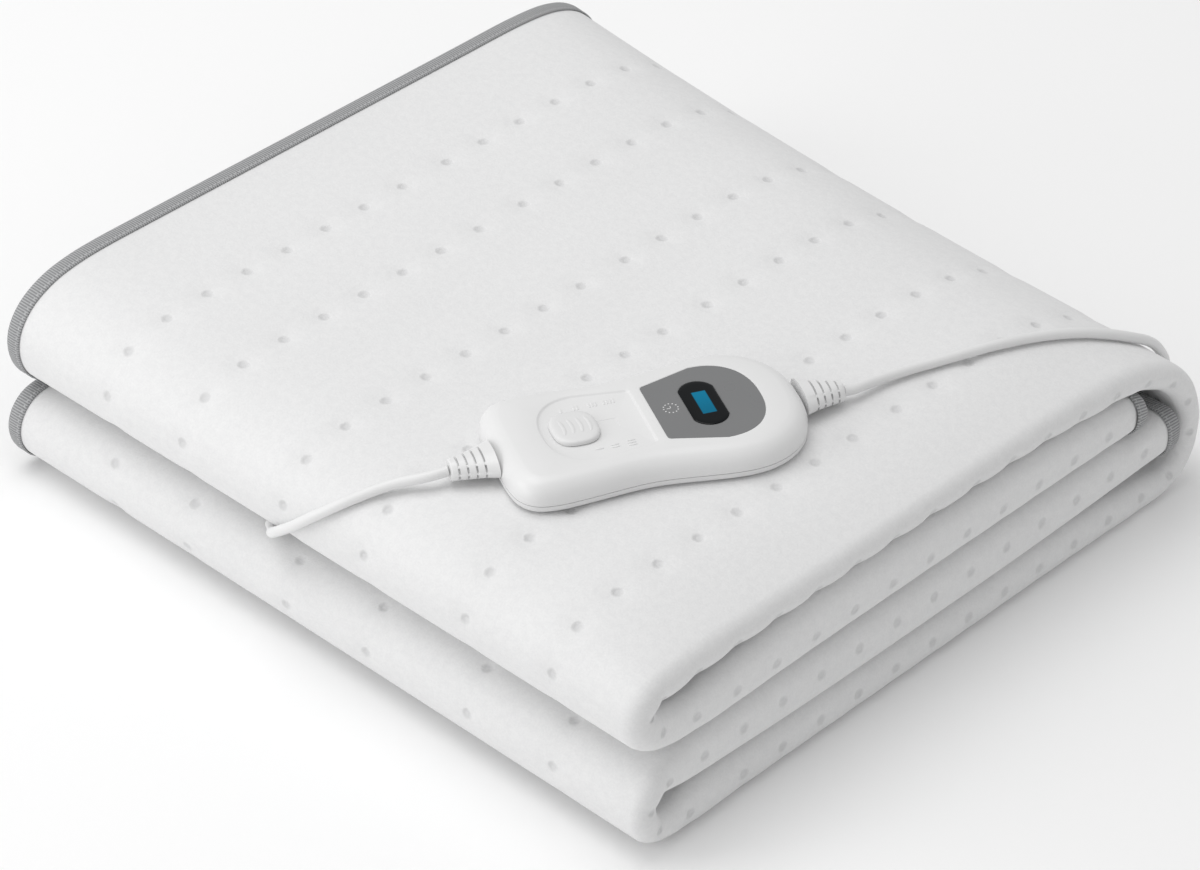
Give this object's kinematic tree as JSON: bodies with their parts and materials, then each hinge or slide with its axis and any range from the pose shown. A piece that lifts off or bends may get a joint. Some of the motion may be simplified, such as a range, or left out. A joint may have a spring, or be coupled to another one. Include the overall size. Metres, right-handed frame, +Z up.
{
  "type": "folded electric underblanket with handset",
  "caption": "Quilted fleece underblanket, tape-bound and folded into a square stack, with a slide-switch handset lying on top and a lead running off behind.",
  "frame": {"origin": "on the supporting surface, under the middle of the folded stack's box", "axes": "+Z up; +X from the bound long edges to the first fold, +Y from the two rolled folds to the single wrap"},
  "size_m": [0.4806, 0.4076, 0.1195],
  "materials": {
    "fleece": "soft brushed fleece, matt",
    "tape": "ribbed woven tape, matt",
    "white_plastic": "satin moulded plastic",
    "button_plastic": "satin moulded plastic",
    "grey_panel": "satin",
    "dark_window": "polished",
    "lead": "smooth flexible plastic",
    "tie": "smooth",
    "steel": "bright"
  },
  "bodies": {
    "root": {"blanket": "fleece", "edge_binding": "tape", "handset_base": "white_plastic", "handset_cover": "white_plastic", "display_panel": "grey_panel", "display_window": "dark_window", "relief_blanket_side": "white_plastic", "relief_mains_side": "white_plastic", "blanket_lead": "lead", "mains_lead": "lead", "mains_coil": "lead", "coil_tie": "tie", "plug_lead": "lead", "plug_sleeve": "lead", "plug_body": "lead", "plug_pin_left": "steel", "plug_pin_right": "steel"},
    "slider": {"slide_button": "button_plastic"}
  },
  "joints": [
    {"name": "level_slide", "type": "slide", "parent": "root", "child": "slider", "axis": [0.4563, 0.8898, 0], "range_m": [0, 0.015]}
  ]
}
